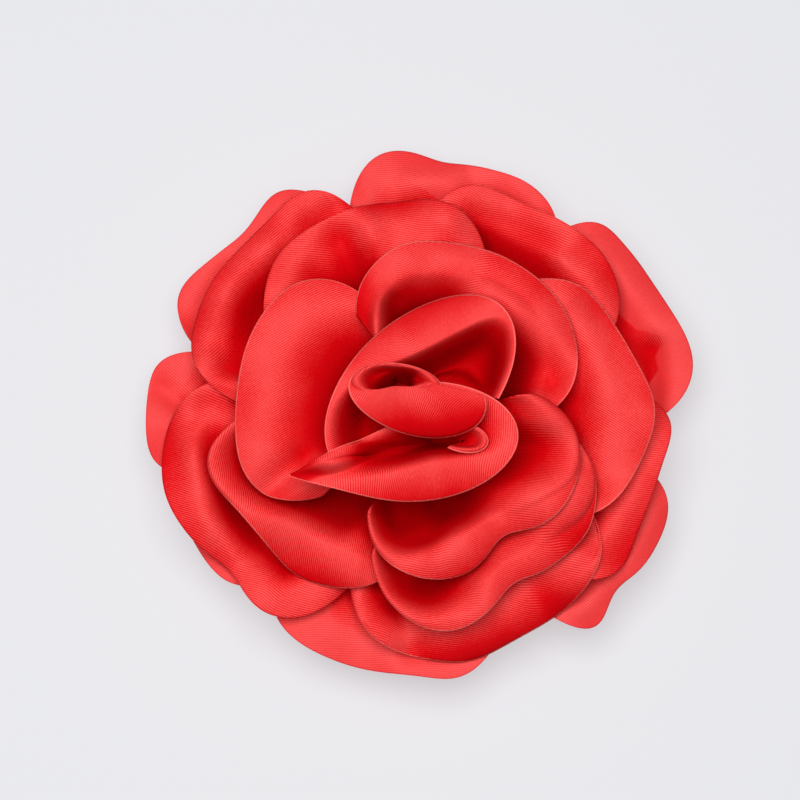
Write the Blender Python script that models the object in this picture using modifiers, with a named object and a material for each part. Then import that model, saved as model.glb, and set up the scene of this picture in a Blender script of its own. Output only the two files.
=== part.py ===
"""Fabric flower hair clip: layered satin petals on a stiff disc, felt back and sprung metal clip.

Metres, +Z up along the flower's axis. The origin is the middle of the clip's flat underside,
straight below the flower's axis. +X runs towards the clip's tip.
"""
import math

import bmesh
import bpy
import numpy as np

MM = 0.001
GAP = 0.3                    # clearance between neighbouring pieces, mm

# Clip, mm
SHEET = 0.7                  # sheet metal thickness
LOWER_Z = SHEET / 2          # middle of the lower strip
UPPER_Z = 7.15               # middle of the upper strip
PIN_X = -8.0
PIN_Z = (LOWER_Z + UPPER_Z) / 2
PIN_RADIUS = 0.8
PIN_HEAD_RADIUS = 1.4
PIN_HEAD_LENGTH = 0.5
PIN_HEAD_BEVEL = (0.3, 0.25) # in from the rim, down from the end
UPPER_HALF_WIDTH = 4.4
LOWER_HALF_WIDTH = 3.3
TAB_X = -22.0
TIP_X = 26.0
TIP_TOOTH = 0.5
EAR_HALF_FOOT = 2.5
EAR_HALF_TOP = 1.2
EAR_PAST_PIN = 1.9
WIRE_RADIUS = 0.3
COIL_RADIUS = UPPER_Z - SHEET / 2 - GAP - WIRE_RADIUS - PIN_Z
COIL_TURNS = 3.5
COIL_PITCH = 1.0
SPRING_LEG = 9.0
SPRING_STEPS = 12            # straight pieces per turn of the spring
JAW_COLUMNS = 7              # points across a jaw; every other one is a tooth at the tip
HOLE_CUTTER_LENGTH = 14.0

# Backing, mm
FELT_RADIUS = 20.0
FELT_THICKNESS = 1.2
FELT_Z = UPPER_Z + SHEET / 2 + GAP
BASE_RADIUS = 22.0
BASE_THICKNESS = 0.8
DISC_BEVEL = 0.2
GLUE_BEVEL = 0.3
BASE_Z = FELT_Z + FELT_THICKNESS + GAP
PETAL_Z = BASE_Z + BASE_THICKNESS          # petal heights are counted from here
GLUE_PROFILE = ((5.6, 0.0), (5.2, 3.0), (4.2, 8.0), (2.6, 11.2), (0.0, 12.2))

# Petals, mm
CLOTH = 0.5
SPACING = CLOTH + GAP                      # least distance between the middles of two petals
PILE_HALF = 70.0
NOTHING = -50.0                            # height of the pile where nothing lies
PILE_CELL = 0.5
SAMPLES = 8                                # height samples along each side of a petal's face
LIFT_PASSES = 4

# Rounding of a petal towards its sides, and how steeply turned-back cloth falls
FLOWER_RADIUS = 55.0
SHOULDER = 5
SIDE_DROP = 0.3
THIN_ROLL = 0.4
LEAST_ROLL = 0.3
MOST_ROLL = 0.8              # share of the reach that may be rolled
MOST_BARE = 0.7              # share of the way to the crest that may be left bare
SIDEWAYS = 0.05              # least cosine at which a ray can meet a straight fold
TURN_CURVE = 0.055           # fall in mm per square mm beyond a straight fold
RIM_STEPS = 400
FOLD_SOFTNESS = 0.22         # share of the edge over which a straight fold fades out
FEWEST_COLUMNS = 6
COLUMN_PITCH = 6.5
BUD_PITCH = 3.2
CLIMB_ROWS = (0.0, 0.3, 0.55, 0.75, 0.9, 1.0)
ROLL_ROWS = (0.5, 1.0)

# Rings, mm: base = height of the foot, start = bare distance round it, height = crest of the edge,
# hollow = (share of the climb done by the floor, where the wall begins, steepness near the crest),
# roll = (width, fall).
RINGS = {
    "outer": {"base": 0.5, "start": 15.0, "height": 6.5, "hollow": (0.08, 0.50, 1.3), "roll": (5.0, 0.4)},
    "middle": {"base": 1.0, "start": 11.0, "height": 13.0, "hollow": (0.04, 0.38, 1.6), "roll": (7.0, 0.9)},
    "inner": {"base": 2.0, "start": 5.5, "height": 20.0, "hollow": (0.03, 0.36, 1.9), "roll": (6.0, 0.8)},
}

# Ring petals, lowest first. aim = direction in degrees, spread = half the angle it covers, reach =
# share of the flower's radius, lean = more reach clockwise, raise and tilt in mm, bumps = (side
# from -1 to 1 clockwise, width, outward mm, upward mm), turned = straight fold (direction, mm from
# the axis) beyond which the cloth turns down, hollow = its own in place of the ring's.
RING_PETALS = {
    "petal_outer_lower_left": {"ring": "outer", "aim": -153, "spread": 24, "reach": 0.94},
    "petal_outer_left": {"ring": "outer", "aim": 179, "spread": 18, "reach": 1.0},
    "petal_outer_bottom": {"ring": "outer", "aim": -100, "spread": 37, "reach": 0.94,
                           "bumps": ((-0.5, 0.2, 1.5, 0.0),)},
    "petal_outer_lower_right": {"ring": "outer", "aim": -35, "spread": 26, "reach": 0.98,
                                "bumps": ((0.25, 0.2, -1.5, 0.0), (0.62, 0.2, 2.0, 0.0))},
    "petal_outer_upper_left": {"ring": "outer", "aim": 137, "spread": 31, "reach": 0.96,
                               "bumps": ((0.5, 0.2, 2.0, 0.5), (0.1, 0.2, -1.0, 0.0),
                                         (-0.5, 0.25, 2.5, 0.0))},
    "petal_outer_upper_right": {"ring": "outer", "aim": 26, "spread": 31, "reach": 0.99,
                                "bumps": ((0.45, 0.3, 2.0, 0.0), (-0.75, 0.2, 2.0, 0.0))},
    "petal_outer_top": {"ring": "outer", "aim": 80, "spread": 32, "reach": 0.96,
                        "bumps": ((-0.55, 0.3, 2.5, 0.0), (-0.15, 0.15, -0.8, 0.0))},
    "petal_middle_lower_left": {"ring": "middle", "aim": -152, "spread": 40, "reach": 0.94,
                                "tilt": 0.8, "raise": -1.5,
                                "bumps": ((0.25, 0.25, 1.5, 0.3), (-0.3, 0.2, -2.5, 0.0))},
    "petal_middle_right": {"ring": "middle", "aim": -21, "spread": 33, "reach": 0.89,
                           "raise": -1.0, "bumps": ((-0.6, 0.25, 2.0, 0.0), (0.55, 0.25, 2.0, 0.0))},
    "petal_middle_bottom": {"ring": "middle", "aim": -70, "spread": 44, "reach": 0.88,
                            "raise": -1.5, "turned": (-68, 40.0), "bumps": ((0.2, 0.2, 1.5, 0.0),)},
    "petal_middle_upper_right": {"ring": "middle", "aim": 54, "spread": 37, "reach": 0.86,
                                 "raise": 1.0, "bumps": ((-0.7, 0.3, 1.5, 0.0), (0.3, 0.3, 1.5, 0.0))},
    "petal_middle_far_left": {"ring": "middle", "aim": 140, "spread": 38, "reach": 0.89,
                              "raise": 1.0, "bumps": ((0.6, 0.25, 2.5, 0.3),)},
    "petal_middle_upper_left": {"ring": "middle", "aim": 110, "spread": 46, "reach": 0.78,
                                "raise": 2.8, "bumps": ((-0.75, 0.2, -1.5, 0.0),)},
    "petal_inner_lower_left": {"ring": "inner", "aim": -138, "spread": 43, "reach": 0.73, "lean": 0.06,
                               "raise": -2.5, "tilt": 3.0, "turned": (-113, 31.5),
                               "bumps": ((0.65, 0.25, 3.0, 0.0), (-0.25, 0.2, 1.0, 0.0))},
    "petal_inner_right": {"ring": "inner", "aim": 10, "spread": 50, "reach": 0.78, "lean": 0.06,
                          "hollow": (0.15, 0.1, 1.2), "raise": -1.0,
                          "bumps": ((0.2, 0.25, 3.0, 0.0), (-0.8, 0.2, -3.0, 0.0))},
    "petal_inner_left": {"ring": "inner", "aim": 170, "spread": 52, "reach": 0.66, "hollow": (0.1, 0.0, 1.0),
                         "raise": 2.5, "tilt": 0.8, "bumps": ((-0.65, 0.3, 1.5, -1.0),)},
    "petal_inner_under_right": {"ring": "inner", "aim": -57, "spread": 51, "reach": 0.74, "lean": 0.07,
                                "raise": -0.5, "turned": (-54, 35.5),
                                "bumps": ((0.1, 0.15, -2.0, 0.0), (0.5, 0.25, 2.5, 0.0),
                                          (-0.4, 0.2, 1.5, 0.5))},
    "petal_inner_top": {"ring": "inner", "aim": 60, "spread": 65, "reach": 0.61,
                        "raise": 3.3, "bumps": ((-0.85, 0.3, -2.0, 0.0), (0.3, 0.3, 1.0, 0.0))},
    "petal_inner_lower_right": {"ring": "inner", "aim": -56, "spread": 60, "reach": 0.61,
                                "raise": 4.0, "turned": (-65, 26.5),
                                "bumps": ((0.02, 0.18, -3.5, 0.0), (-0.35, 0.3, 1.0, 0.5),
                                          (0.5, 0.3, 1.0, 0.0))},
}

# Bud pieces, mm: an ellipse (middle, half sizes, turn) swept between two of its own angles round a
# foot that need not be its middle. tip = (angle, width, outward), turned as above but from the foot,
# cut = straight edge (direction, mm from the foot) in the sweep's second half, coil = share of its
# size lost by the sweep's end.
BUD_HOLLOW = (0.05, 0.3, 2.0)
BUD_FALL = 0.1
NO_TIP = (0.0, 20.0, 0.0)
COIL_POWER = 4
BUD_PETALS = {
    "petal_bud_core": {"foot": (3.0, -4.0, 15.0), "middle": (2.5, -3.5), "half": (10.0, 8.0), "turn": 20,
                       "sweep": (64, -284), "height": 22.0},
    "petal_bud_fold": {"foot": (4.0, 2.5, 17.0), "middle": (0.0, 2.4), "half": (22.5, 13.5), "turn": 45,
                       "sweep": (172, -66), "height": 33.0, "tilt": -1.0, "turned": (116, 8.2)},
    "petal_bud_front": {"foot": (2.0, -6.5, 17.5), "middle": (-1.0, -8.0), "half": (20.0, 11.5), "turn": 4,
                        "sweep": (85, -215), "height": 31.0, "tilt": -1.5, "turned": (-80, 6.0),
                        "tip": (-160, 26, 8.0), "cut": (116, 5.0), "hollow": (0.45, 0.0, 1.0)},
    "petal_bud_curl": {"foot": (8.2, -7.6, 24.0), "middle": (8.2, -7.4), "half": (5.0, 2.9), "turn": -12,
                       "sweep": (150, -120), "height": 32.0},
    "petal_bud_roll": {"foot": (-5.0, 4.4, 22.0), "middle": (-1.0, 0.4), "half": (14.0, 7.4), "turn": -12,
                       "sweep": (20, -310), "height": 36.0, "tilt": -0.4, "turned": (-86, 2.6), "coil": 0.5},
}

RED = (0.78, 0.006, 0.014)
SATIN_ROUGHNESS = 0.42


def empty_scene():
    for thing in list(bpy.data.objects):
        bpy.data.objects.remove(thing, do_unlink=True)


def collection(name):
    made = bpy.data.collections.new(name)
    bpy.context.scene.collection.children.link(made)
    return made


def material(name, colour, roughness, metallic=0.0):
    made = bpy.data.materials.new(name)
    made.use_nodes = True
    shader = made.node_tree.nodes["Principled BSDF"]
    shader.inputs["Base Color"].default_value = (*colour, 1.0)
    shader.inputs["Roughness"].default_value = roughness
    shader.inputs["Metallic"].default_value = metallic
    return made


def add_object(name, data, parts, finish):
    thing = bpy.data.objects.new(name, data)
    thing.data.materials.append(finish)
    parts.objects.link(thing)
    return thing


def smooth_by_angle(thing, degrees=35.0):
    thing.data.shade_smooth()
    thing.data.set_sharp_from_angle(angle=math.radians(degrees))


def solidify(thing, thickness):
    shell = thing.modifiers.new("thickness", "SOLIDIFY")
    shell.thickness = thickness * MM
    shell.offset = 0.0
    shell.use_even_offset = True
    return shell


def sheet_mesh(name, points, faces):
    mesh = bpy.data.meshes.new(name)
    mesh.from_pydata([tuple(c * MM for c in p) for p in points], [], faces)
    mesh.update()
    return mesh


# ---------------------------------------------------------------- petals

def softened(values, share):
    """Running mean over a share of the edge, so that one shape passes gently into the next."""
    half = int(len(values) * share / 2)
    window = np.hanning(2 * half + 3)[1:-1]
    padded = np.pad(values, half, mode="edge")
    return np.convolve(padded, window / window.sum(), mode="valid")


def turned_roll(petal, turn, reach, thin):
    """Width of cloth beyond the petal's straight fold, if it has one, and no less than thin."""
    if "turned" not in petal:
        return np.full_like(reach, thin)
    facing, away = petal["turned"]
    across = np.cos(turn - math.radians(facing))
    beyond = np.where(across > SIDEWAYS, reach - away / np.maximum(across, SIDEWAYS), 0.0)
    return softened(np.maximum(beyond, thin), FOLD_SOFTNESS)


def ring_rim(petal):
    """Stations along a ring petal's edge: x, y, crest height, roll width, roll fall."""
    ring = RINGS[petal["ring"]]
    side = np.linspace(-1.0, 1.0, RIM_STEPS)
    reach = petal["reach"] * FLOWER_RADIUS * (1.0 - SIDE_DROP * np.abs(side) ** SHOULDER)
    reach *= 1.0 + petal.get("lean", 0.0) * side
    height = ring["height"] + petal.get("raise", 0.0) + petal.get("tilt", 0.0) * side
    for at, width, outward, upward in petal.get("bumps", ()):
        bump = np.exp(-((side - at) / width) ** 2)
        reach += outward * bump
        height += upward * bump
    turn = np.radians(petal["aim"] - petal["spread"] * side)
    width, fall = ring["roll"]
    if "turned" in petal:
        width = THIN_ROLL
    roll = turned_roll(petal, turn, reach, width)
    falls = np.full_like(side, fall)
    return np.column_stack((reach * np.cos(turn), reach * np.sin(turn), height, roll, falls))


def bud_rim(petal):
    """Stations along a bud piece's edge: x, y, crest height, roll width, roll fall."""
    angle = np.radians(np.linspace(*petal["sweep"], RIM_STEPS))
    at, width, outward = petal.get("tip", NO_TIP)
    grown = outward * np.exp(-((angle - math.radians(at)) / math.radians(width)) ** 2)
    size = 1.0 - petal.get("coil", 0.0) * np.linspace(0.0, 1.0, RIM_STEPS) ** COIL_POWER
    along = (petal["half"][0] + grown) * size * np.cos(angle)
    across = petal["half"][1] * size * np.sin(angle)
    lie = math.radians(petal["turn"])
    x = petal["middle"][0] + along * math.cos(lie) - across * math.sin(lie)
    y = petal["middle"][1] + along * math.sin(lie) + across * math.cos(lie)
    away = np.column_stack((x - petal["foot"][0], y - petal["foot"][1]))
    reach = np.linalg.norm(away, axis=1)
    turn = np.arctan2(away[:, 1], away[:, 0])
    if "cut" in petal:
        facing, distance = petal["cut"]
        across = np.cos(turn - math.radians(facing))
        straight = distance / np.maximum(across, SIDEWAYS)
        towards_end = np.arange(RIM_STEPS) > RIM_STEPS / 2
        reach = np.where(towards_end & (across > SIDEWAYS), np.minimum(reach, straight), reach)
        x = petal["foot"][0] + reach * np.cos(turn)
        y = petal["foot"][1] + reach * np.sin(turn)
    roll = turned_roll(petal, turn, reach, THIN_ROLL)
    height = petal["height"] + petal.get("tilt", 0.0) * np.linspace(-1.0, 1.0, RIM_STEPS)
    return np.column_stack((x, y, height, roll, np.full_like(x, BUD_FALL)))


def evenly(stations, pitch):
    """The same edge at even steps along its length."""
    step = np.linalg.norm(np.diff(stations[:, :3], axis=0), axis=1)
    run = np.concatenate(([0.0], np.cumsum(step)))
    wanted = np.linspace(0.0, run[-1], max(FEWEST_COLUMNS, round(run[-1] / pitch) + 1))
    return np.stack([np.interp(wanted, run, column) for column in stations.T], axis=1)


def climb(t, hollow):
    """Height share along a ray from foot (0) to crest (1): a low floor, then a rounded wall."""
    floor, wall_start, steepness = hollow
    t = np.clip(t, 0.0, 1.0)
    wall = np.clip((t - wall_start) / (1.0 - wall_start), 0.0, 1.0) ** steepness
    return floor * (2 * t - t * t) + (1.0 - floor) * wall * wall * (3 - 2 * wall)


def drop_beyond_fold(petal, grid, foot):
    """Bend the cloth down where it lies beyond the petal's straight fold."""
    if "turned" in petal:
        facing, away = petal["turned"]
        facing = math.radians(facing)
        x = grid[..., 0] - foot[0]
        y = grid[..., 1] - foot[1]
        beyond = x * math.cos(facing) + y * math.sin(facing) - away
        grid[..., 2] -= TURN_CURVE * np.clip(beyond, 0.0, None) ** 2
    return grid


def petal_grid(rim, foot, bare, hollow):
    """Rows of points from the foot over the crest to the rim, one column per ray."""
    ray = rim[:, :2] - foot[:2]
    reach = np.linalg.norm(ray, axis=1)
    ray = ray / reach[:, None]
    crest_height = rim[:, 2]
    roll = np.clip(rim[:, 3], LEAST_ROLL, reach * MOST_ROLL)
    crest = reach - roll
    start = np.minimum(bare, crest * MOST_BARE)
    rows = []
    for share in CLIMB_ROWS:
        along = start + (crest - start) * share
        height = foot[2] + (crest_height - foot[2]) * climb(along / crest, hollow)
        rows.append(np.column_stack((foot[:2] + ray * along[:, None], height)))
    for share in ROLL_ROWS:
        along = crest + roll * share
        height = crest_height - rim[:, 4] * share**2
        rows.append(np.column_stack((foot[:2] + ray * along[:, None], height)))
    return np.array(rows)


def grid_samples(grid):
    """Points spread over both triangles of every face, with shape (rows, columns, samples, 3)."""
    a, b = grid[:-1, :-1], grid[:-1, 1:]
    c, d = grid[1:, 1:], grid[1:, :-1]
    samples = []
    steps = np.linspace(0.0, 1.0, SAMPLES)
    for u in steps:
        for v in steps:
            if u >= v:
                samples.append(a + (b - a) * (u - v) + (c - a) * v)
            if v >= u:
                samples.append(a + (d - a) * (v - u) + (c - a) * u)
    return np.stack(samples, axis=2)


class Pile:
    """Height map of the petals laid so far."""

    def __init__(self):
        side = int(2 * PILE_HALF / PILE_CELL) + 1
        axis = np.linspace(-PILE_HALF, PILE_HALF, side)
        across, up = np.meshgrid(axis, axis, indexing="ij")
        radius = np.hypot(across, up)
        self.height = np.full((side, side), NOTHING)
        self.height[radius < BASE_RADIUS + SPACING] = -CLOTH / 2
        glue_radius = [r for r, _ in reversed(GLUE_PROFILE)]
        glue_height = [h for _, h in reversed(GLUE_PROFILE)]
        on_glue = radius < GLUE_PROFILE[0][0]
        self.height[on_glue] = np.interp(radius[on_glue], glue_radius, glue_height)

    def cells(self, points):
        index = np.rint((points[..., :2] + PILE_HALF) / PILE_CELL).astype(int)
        return index[..., 0], index[..., 1]

    def spaced(self):
        """The least height at which another petal's middle clears everything below it."""
        reach = int(math.ceil(SPACING / PILE_CELL))
        result = np.full_like(self.height, NOTHING)
        for i in range(-reach, reach + 1):
            for j in range(-reach, reach + 1):
                away = math.hypot(i, j) * PILE_CELL
                if away > SPACING + PILE_CELL:
                    continue
                rise = math.sqrt(max(SPACING**2 - away**2, 0.0))
                result = np.maximum(result, np.roll(self.height, (i, j), axis=(0, 1)) + rise)
        return result

    def lay(self, grid):
        """Raise the petal's points until every face clears the pile, then add it to the pile."""
        least = self.spaced()
        for _ in range(LIFT_PASSES):
            samples = grid_samples(grid)
            short = np.clip(least[self.cells(samples)] - samples[..., 2], 0.0, None).max(axis=2)
            lift = np.zeros(grid.shape[:2])
            for i, j in ((0, 0), (0, 1), (1, 0), (1, 1)):
                corner = lift[i:i + short.shape[0], j:j + short.shape[1]]
                np.maximum(corner, short, out=corner)
            grid[..., 2] += lift
        samples = grid_samples(grid)
        np.maximum.at(self.height, self.cells(samples), samples[..., 2])
        return grid


def make_petal(name, pile, petal, rim, foot, bare, hollow, parts):
    grid = pile.lay(drop_beyond_fold(petal, petal_grid(rim, foot, bare, hollow), foot))
    rows, columns = grid.shape[:2]
    points = grid.reshape(-1, 3) + (0.0, 0.0, PETAL_Z)
    faces = []
    for i in range(rows - 1):
        for j in range(columns - 1):
            a = i * columns + j
            faces.append((a, a + 1, a + columns + 1))
            faces.append((a, a + columns + 1, a + columns))
    finish = material(name + "_satin", RED, SATIN_ROUGHNESS)
    thing = add_object(name, sheet_mesh(name, points, faces), parts, finish)
    solidify(thing, CLOTH).use_even_offset = False
    smooth_by_angle(thing, 60.0)


def make_petals(parts):
    pile = Pile()
    for name, petal in RING_PETALS.items():
        ring = RINGS[petal["ring"]]
        rim = evenly(ring_rim(petal), COLUMN_PITCH)
        foot = np.array((0.0, 0.0, ring["base"]))
        make_petal(name, pile, petal, rim, foot, ring["start"], petal.get("hollow", ring["hollow"]), parts)
    for name, petal in BUD_PETALS.items():
        rim = evenly(bud_rim(petal), BUD_PITCH)
        hollow = petal.get("hollow", BUD_HOLLOW)
        make_petal(name, pile, petal, rim, np.array(petal["foot"]), THIN_ROLL, hollow, parts)


# ---------------------------------------------------------------- backing

def turned(name, profile, parts, finish, steps=48):
    """A profile of (radius, height) pairs, listed from the top down, turned about Z."""
    points = [(r, 0.0, z) for r, z in profile]
    edges = [(i, i + 1) for i in range(len(points) - 1)]
    mesh = bpy.data.meshes.new(name)
    mesh.from_pydata([tuple(c * MM for c in p) for p in points], edges, [])
    thing = add_object(name, mesh, parts, finish)
    screw = thing.modifiers.new("turn", "SCREW")
    screw.steps = steps
    screw.render_steps = steps
    screw.use_merge_vertices = True
    screw.merge_threshold = 0.00001
    screw.use_smooth_shade = True
    return thing


def disc(name, radius, low, thickness, parts, finish):
    high = low + thickness
    edge = DISC_BEVEL
    profile = ((0.0, high), (radius - edge, high), (radius, high - edge), (radius, low + edge),
               (radius - edge, low), (0.0, low))
    return turned(name, profile, parts, finish)


def make_backing(parts):
    felt = material("felt", (0.62, 0.015, 0.02), 0.95)
    buckram = material("buckram", (0.7, 0.02, 0.03), 0.8)
    glue = material("set_glue", (0.75, 0.7, 0.6), 0.35)
    disc("felt_back", FELT_RADIUS, FELT_Z, FELT_THICKNESS, parts, felt)
    disc("petal_base", BASE_RADIUS, BASE_Z, BASE_THICKNESS, parts, buckram)
    low = PETAL_Z + GAP
    profile = [(r, PETAL_Z + h - GAP) for r, h in reversed(GLUE_PROFILE) if h > 0.0]
    foot = GLUE_PROFILE[0][0]
    profile += [(foot, low + GLUE_BEVEL), (foot - GLUE_BEVEL, low), (0.0, low)]
    turned("glue_pad", profile, parts, glue, steps=24)


# ---------------------------------------------------------------- clip

def strip_points(path, columns):
    """Stations (x, z, half width) swept across into rows of points."""
    rows = []
    for x, z, half in path:
        rows.append([(x, half * (2 * c / (columns - 1) - 1), z) for c in range(columns)])
    return rows


def make_jaw(name, path, ear_side, parts, finish):
    """A bent sheet strip with two pierced ears folded towards the other jaw and a toothed tip."""
    columns = JAW_COLUMNS
    rows = strip_points(path, columns)
    rows[-1] = [(x, y, z + TIP_TOOTH * (c % 2 - 0.5)) for c, (x, y, z) in enumerate(rows[-1])]
    points = [p for row in rows for p in row]
    faces = []
    for i in range(len(rows) - 1):
        for j in range(columns - 1):
            a = i * columns + j
            faces.append((a, a + columns, a + columns + 1, a + 1))
    ear_row = next(i for i, row in enumerate(path) if abs(row[0] - (PIN_X - EAR_HALF_FOOT)) < 0.01)
    ear_end = PIN_Z + ear_side * EAR_PAST_PIN
    for column in (0, columns - 1):
        first = ear_row * columns + column
        middle = first + columns
        last = middle + columns
        y = points[first][1]
        new = len(points)
        points += [(PIN_X - EAR_HALF_TOP, y, ear_end), (PIN_X + EAR_HALF_TOP, y, ear_end)]
        ear = (first, middle, last, new + 1, new)
        faces.append(ear if column == 0 else tuple(reversed(ear)))
    mesh = sheet_mesh(name, points, faces)
    work = bmesh.new()
    work.from_mesh(mesh)
    bmesh.ops.recalc_face_normals(work, faces=work.faces)
    work.to_mesh(mesh)
    work.free()
    jaw = add_object(name, mesh, parts, finish)
    solidify(jaw, SHEET)
    return jaw


def pierce(thing, cutter):
    cut = thing.modifiers.new("pin_hole", "BOOLEAN")
    cut.operation = "DIFFERENCE"
    cut.solver = "EXACT"
    cut.object = cutter


def make_pin_cutter(cutters):
    bpy.ops.mesh.primitive_cylinder_add(vertices=24, radius=(PIN_RADIUS + GAP) * MM,
                                        depth=HOLE_CUTTER_LENGTH * MM)
    cutter = bpy.context.object
    cutter.name = "pin_hole_cutter"
    for home in list(cutter.users_collection):
        home.objects.unlink(cutter)
    cutters.objects.link(cutter)
    cutter.location = (PIN_X * MM, 0.0, PIN_Z * MM)
    cutter.rotation_euler = (math.pi / 2, 0.0, 0.0)
    cutter.hide_render = True
    cutter.display_type = "WIRE"
    return cutter


def set_origin(thing, x, y, z):
    """Put the object's origin at a point in mm without moving its shape."""
    for vertex in thing.data.vertices:
        vertex.co.x -= x * MM
        vertex.co.y -= y * MM
        vertex.co.z -= z * MM
    thing.location = (x * MM, y * MM, z * MM)


def make_pin(parts, finish):
    """Turned pin with a low head at each end, lying along Y."""
    shank = UPPER_HALF_WIDTH + SHEET / 2 + GAP
    end = shank + PIN_HEAD_LENGTH
    rim = PIN_HEAD_RADIUS
    inward, down = PIN_HEAD_BEVEL
    profile = ((0.0, end), (rim - inward, end), (rim, end - down), (rim, shank), (PIN_RADIUS, shank),
               (PIN_RADIUS, -shank), (rim, -shank), (rim, down - end), (rim - inward, -end), (0.0, -end))
    pin = turned("clip_pin", profile, parts, finish, steps=24)
    pin.location = (PIN_X * MM, 0.0, PIN_Z * MM)
    pin.rotation_euler = (math.pi / 2, 0.0, 0.0)
    smooth_by_angle(pin)


def make_spring(parts, finish):
    """Torsion spring: a leg under the fixed jaw, a coil round the pin, a leg on the moving jaw."""
    steps = round(COIL_TURNS * SPRING_STEPS)
    side = -COIL_TURNS * COIL_PITCH / 2
    points = [(PIN_X - SPRING_LEG, side, PIN_Z + COIL_RADIUS)]
    for i in range(steps + 1):
        turn = 2 * math.pi * i / SPRING_STEPS
        points.append((PIN_X + COIL_RADIUS * math.sin(turn), side + COIL_PITCH * i / SPRING_STEPS,
                       PIN_Z + COIL_RADIUS * math.cos(turn)))
    points.append((PIN_X - SPRING_LEG, -side, PIN_Z - COIL_RADIUS))
    curve = bpy.data.curves.new("clip_spring", "CURVE")
    curve.dimensions = "3D"
    curve.bevel_depth = WIRE_RADIUS * MM
    curve.bevel_resolution = 2
    curve.use_fill_caps = True
    spline = curve.splines.new("POLY")
    spline.points.add(len(points) - 1)
    for point, (x, y, z) in zip(spline.points, points):
        point.co = ((x - PIN_X) * MM, y * MM, (z - PIN_Z) * MM, 1.0)
    spring = add_object("clip_spring", curve, parts, finish)
    spring.location = (PIN_X * MM, 0.0, PIN_Z * MM)


def make_clip(parts, cutters):
    steel = material("clip_steel", (0.72, 0.72, 0.74), 0.3, 1.0)
    spring_steel = material("spring_steel", (0.6, 0.6, 0.62), 0.35, 1.0)
    ear = (PIN_X - EAR_HALF_FOOT, PIN_X, PIN_X + EAR_HALF_FOOT)
    wide = UPPER_HALF_WIDTH
    slim = LOWER_HALF_WIDTH
    bite_z = (UPPER_Z + LOWER_Z) / 2
    tip_gap = SHEET / 2 + TIP_TOOTH
    upper_path = [(TAB_X, UPPER_Z, wide - 1.2), (TAB_X + 1.5, UPPER_Z, wide)]
    upper_path += [(x, UPPER_Z, wide) for x in ear]
    upper_path += [(TIP_X - 10, UPPER_Z, wide - 0.8), (TIP_X - 4, UPPER_Z - 0.4, wide - 1.4),
                   (TIP_X - 1, UPPER_Z - 1.5, wide - 1.8), (TIP_X, bite_z + tip_gap, wide - 2.0)]
    lower_path = [(TAB_X, LOWER_Z, wide - 0.8), (TAB_X + 2, LOWER_Z, wide), (TAB_X + 8, LOWER_Z, slim + 0.2)]
    lower_path += [(x, LOWER_Z, slim) for x in ear]
    lower_path += [(TIP_X - 10, LOWER_Z, slim), (TIP_X - 4, LOWER_Z + 0.5, slim - 0.3),
                   (TIP_X - 1, LOWER_Z + 1.7, slim - 0.7), (TIP_X, bite_z - tip_gap, slim - 0.9)]
    cutter = make_pin_cutter(cutters)
    fixed = make_jaw("clip_fixed_jaw", upper_path, -1, parts, steel)
    moving = make_jaw("clip_moving_jaw", lower_path, 1, parts, steel)
    set_origin(moving, PIN_X, 0.0, PIN_Z)
    pierce(fixed, cutter)
    pierce(moving, cutter)
    make_pin(parts, steel)
    make_spring(parts, spring_steel)


def main():
    empty_scene()
    parts = collection("flower_hair_clip")
    cutters = collection("cutters")
    make_petals(parts)
    make_backing(parts)
    make_clip(parts, cutters)


main()
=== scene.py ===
"""Looks of the fabric flower hair clip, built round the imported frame: satin petals, felt, glue, steel."""
import math

import bpy
import numpy as np
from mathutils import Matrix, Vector


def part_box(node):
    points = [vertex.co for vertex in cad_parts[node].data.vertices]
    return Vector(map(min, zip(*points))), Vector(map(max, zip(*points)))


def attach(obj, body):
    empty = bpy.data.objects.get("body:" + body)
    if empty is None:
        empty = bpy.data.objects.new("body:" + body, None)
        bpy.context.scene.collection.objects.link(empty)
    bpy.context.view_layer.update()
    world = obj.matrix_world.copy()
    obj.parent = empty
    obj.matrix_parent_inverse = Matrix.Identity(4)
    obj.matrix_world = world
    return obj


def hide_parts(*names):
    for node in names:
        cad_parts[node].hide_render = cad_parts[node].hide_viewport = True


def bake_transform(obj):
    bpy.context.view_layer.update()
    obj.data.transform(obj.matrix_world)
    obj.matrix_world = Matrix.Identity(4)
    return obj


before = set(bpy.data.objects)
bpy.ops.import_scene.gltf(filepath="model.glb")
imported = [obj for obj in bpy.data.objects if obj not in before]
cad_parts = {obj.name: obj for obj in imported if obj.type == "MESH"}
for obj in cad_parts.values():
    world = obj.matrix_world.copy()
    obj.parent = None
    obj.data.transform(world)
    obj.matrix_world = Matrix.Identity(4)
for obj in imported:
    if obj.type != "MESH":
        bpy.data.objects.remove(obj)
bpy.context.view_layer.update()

MM = 0.001
PETAL_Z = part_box("petal_base")[1][2] / MM      # petal heights are counted from here
BASE_RADIUS = (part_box("petal_base")[1][0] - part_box("petal_base")[0][0]) / 2 / MM
FLOWER_RADIUS = 55.0                           # mm; petals reach out by shares of it

# Cloth, mm
CLOTH = 0.25
SPACING = 0.45                                 # least distance between the middles of two petals
FEWEST_COLUMNS = 6
COLUMN_PITCH = 0.8
INNER_ROWS = 46
ROLL_ROWS = 14
RIM_STEPS = 400
FOLD_STEPS = 24
FAR = 1000.0                                   # farther away than any point of a petal

# Loose shapes in the cloth, mm
RUFFLE_LENGTH = 30.0
SECOND_RUFFLE = (1.7, 0.5)                     # waves per first wave, share of its height
RUFFLE_POWER = 1.5                             # how late the ruffle grows on the way to the rim
WAVES = ((26.0, 0.35), (14.0, 0.12), (8.0, 0.04))     # length, height
CALM = 0.25                                    # share of the waves left at a petal's foot
RING_SEED = 100
BUD_SEED = 200

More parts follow.
